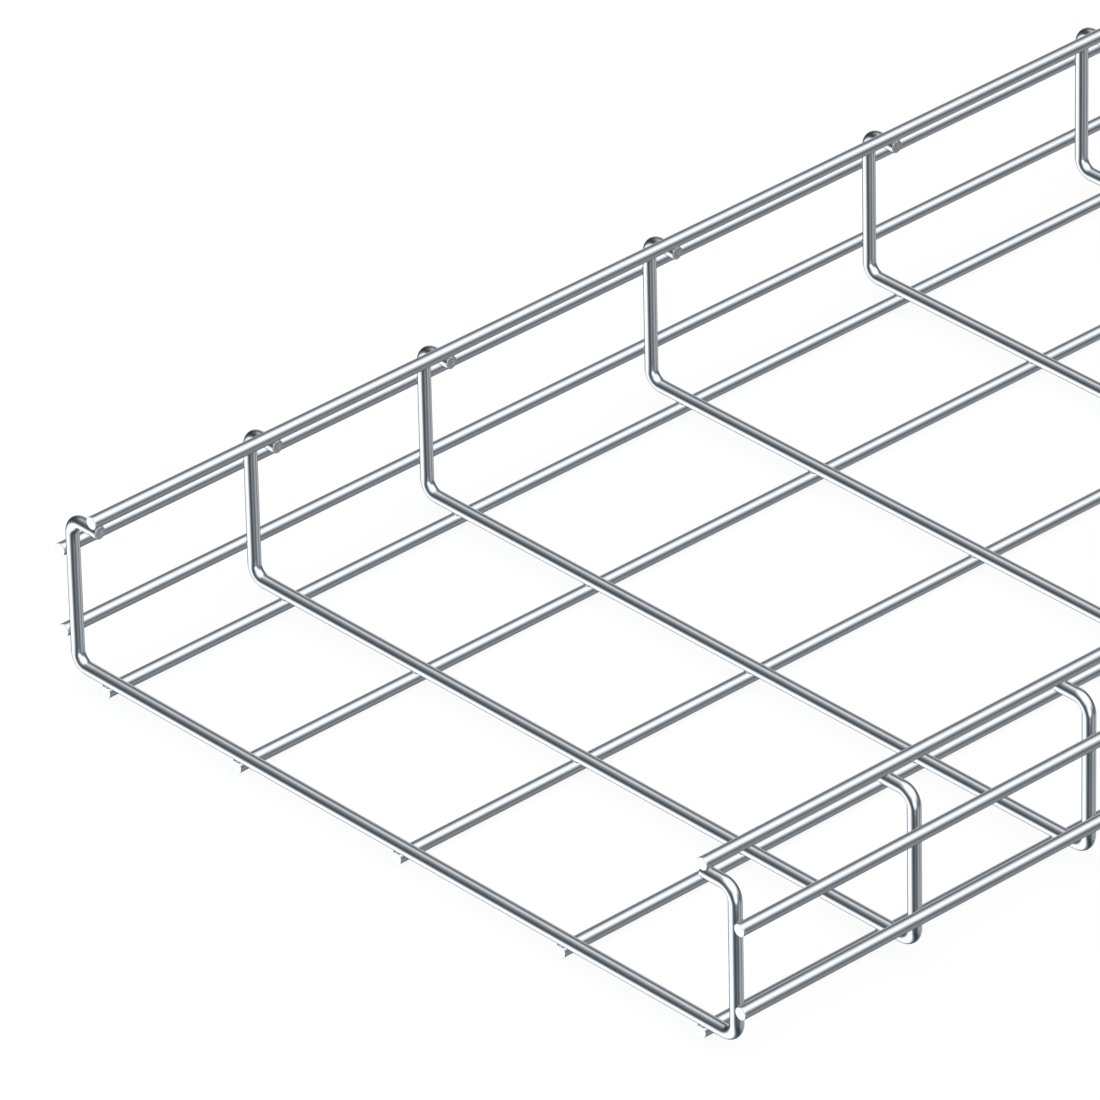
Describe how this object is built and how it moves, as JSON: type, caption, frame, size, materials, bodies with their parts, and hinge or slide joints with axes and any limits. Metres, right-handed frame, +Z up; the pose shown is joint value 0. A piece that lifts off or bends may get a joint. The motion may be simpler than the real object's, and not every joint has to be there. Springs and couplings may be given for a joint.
{
  "type": "wire mesh cable basket",
  "caption": "Straight open trough of welded round steel wire that carries cables, with outside side wires and turned-in ends under a rim wire on each wall.",
  "frame": {"origin": "middle of the length and width, at the underside of the floor wires", "axes": "+X across the tray, +Y along it away from the near end, +Z up out of the open top"},
  "size_m": [0.3146, 3.0046, 0.0662],
  "materials": {
    "zinc_wire": "bright galvanised"
  },
  "bodies": {
    "root": {"floor_wire_left_outer": "zinc_wire", "floor_wire_left_inner": "zinc_wire", "floor_wire_middle": "zinc_wire", "floor_wire_right_inner": "zinc_wire", "floor_wire_right_outer": "zinc_wire", "side_wire_left_lower": "zinc_wire", "side_wire_left_upper": "zinc_wire", "side_wire_right_lower": "zinc_wire", "side_wire_right_upper": "zinc_wire", "rim_wire_left": "zinc_wire", "rim_wire_right": "zinc_wire", "cross_wire_01": "zinc_wire", "cross_wire_02": "zinc_wire", "cross_wire_03": "zinc_wire", "cross_wire_04": "zinc_wire", "cross_wire_05": "zinc_wire", "cross_wire_06": "zinc_wire", "cross_wire_07": "zinc_wire", "cross_wire_08": "zinc_wire", "cross_wire_09": "zinc_wire", "cross_wire_10": "zinc_wire", "cross_wire_11": "zinc_wire", "cross_wire_12": "zinc_wire", "cross_wire_13": "zinc_wire", "cross_wire_14": "zinc_wire", "cross_wire_15": "zinc_wire", "cross_wire_16": "zinc_wire", "cross_wire_17": "zinc_wire", "cross_wire_18": "zinc_wire", "cross_wire_19": "zinc_wire", "cross_wire_20": "zinc_wire", "cross_wire_21": "zinc_wire", "cross_wire_22": "zinc_wire", "cross_wire_23": "zinc_wire", "cross_wire_24": "zinc_wire", "cross_wire_25": "zinc_wire", "cross_wire_26": "zinc_wire", "cross_wire_27": "zinc_wire", "cross_wire_28": "zinc_wire", "cross_wire_29": "zinc_wire", "cross_wire_30": "zinc_wire", "cross_wire_31": "zinc_wire", "cross_wire_32": "zinc_wire"}
  },
  "joints": []
}
